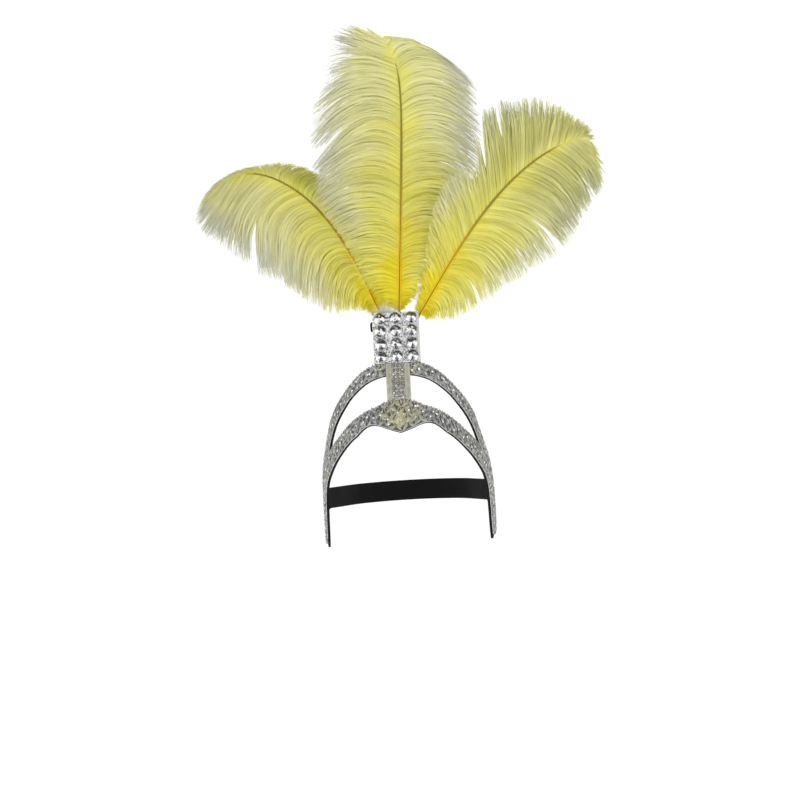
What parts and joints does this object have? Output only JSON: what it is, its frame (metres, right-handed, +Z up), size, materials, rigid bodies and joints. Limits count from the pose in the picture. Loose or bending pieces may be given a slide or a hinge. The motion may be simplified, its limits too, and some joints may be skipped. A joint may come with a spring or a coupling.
{
  "type": "showgirl feather headdress",
  "caption": "Showgirl headdress: a black felt tiara with silver lace, a jewelled post and panel, tall yellow ostrich plumes and an elastic strap round the back of the head",
  "frame": {"origin": "The middle of the head hollow, level with the point of the band in the middle of the forehead. It is where the wearer's head holds the headdress.", "axes": "+Z is up along the wearer's head, the wearer looks along -Y, and +X is on the right for someone who stands in front of the wearer."},
  "size_m": [0.4471, 0.2227, 0.5757],
  "materials": {
    "black_felt": "matte black stiffened felt",
    "silver_lace": "metallic silver lace braid with small sequins and stones",
    "cream_ribbon": "ribbed cream braid with a slight sheen",
    "clear_mesh": "clear plastic mesh with silver glitter",
    "cut_stone": "clear faceted stones with a silvered back",
    "black_elastic": "woven black elastic",
    "yellow_plume": "dyed yellow ostrich plume, soft and matte"
  },
  "bodies": {
    "root": {"felt_base": "black_felt", "band_lace": "silver_lace", "arch_lace_left": "silver_lace", "arch_lace_right": "silver_lace", "post_ribbon": "cream_ribbon", "post_rhinestones": "cut_stone", "panel_mesh": "clear_mesh", "panel_stone_11": "cut_stone", "panel_stone_12": "cut_stone", "panel_stone_13": "cut_stone", "panel_stone_21": "cut_stone", "panel_stone_22": "cut_stone", "panel_stone_23": "cut_stone", "panel_stone_31": "cut_stone", "panel_stone_32": "cut_stone", "panel_stone_33": "cut_stone", "panel_stone_41": "cut_stone", "panel_stone_42": "cut_stone", "panel_stone_43": "cut_stone", "elastic_strap": "black_elastic", "plume_center": "yellow_plume", "plume_left": "yellow_plume", "plume_right": "yellow_plume"}
  },
  "joints": []
}
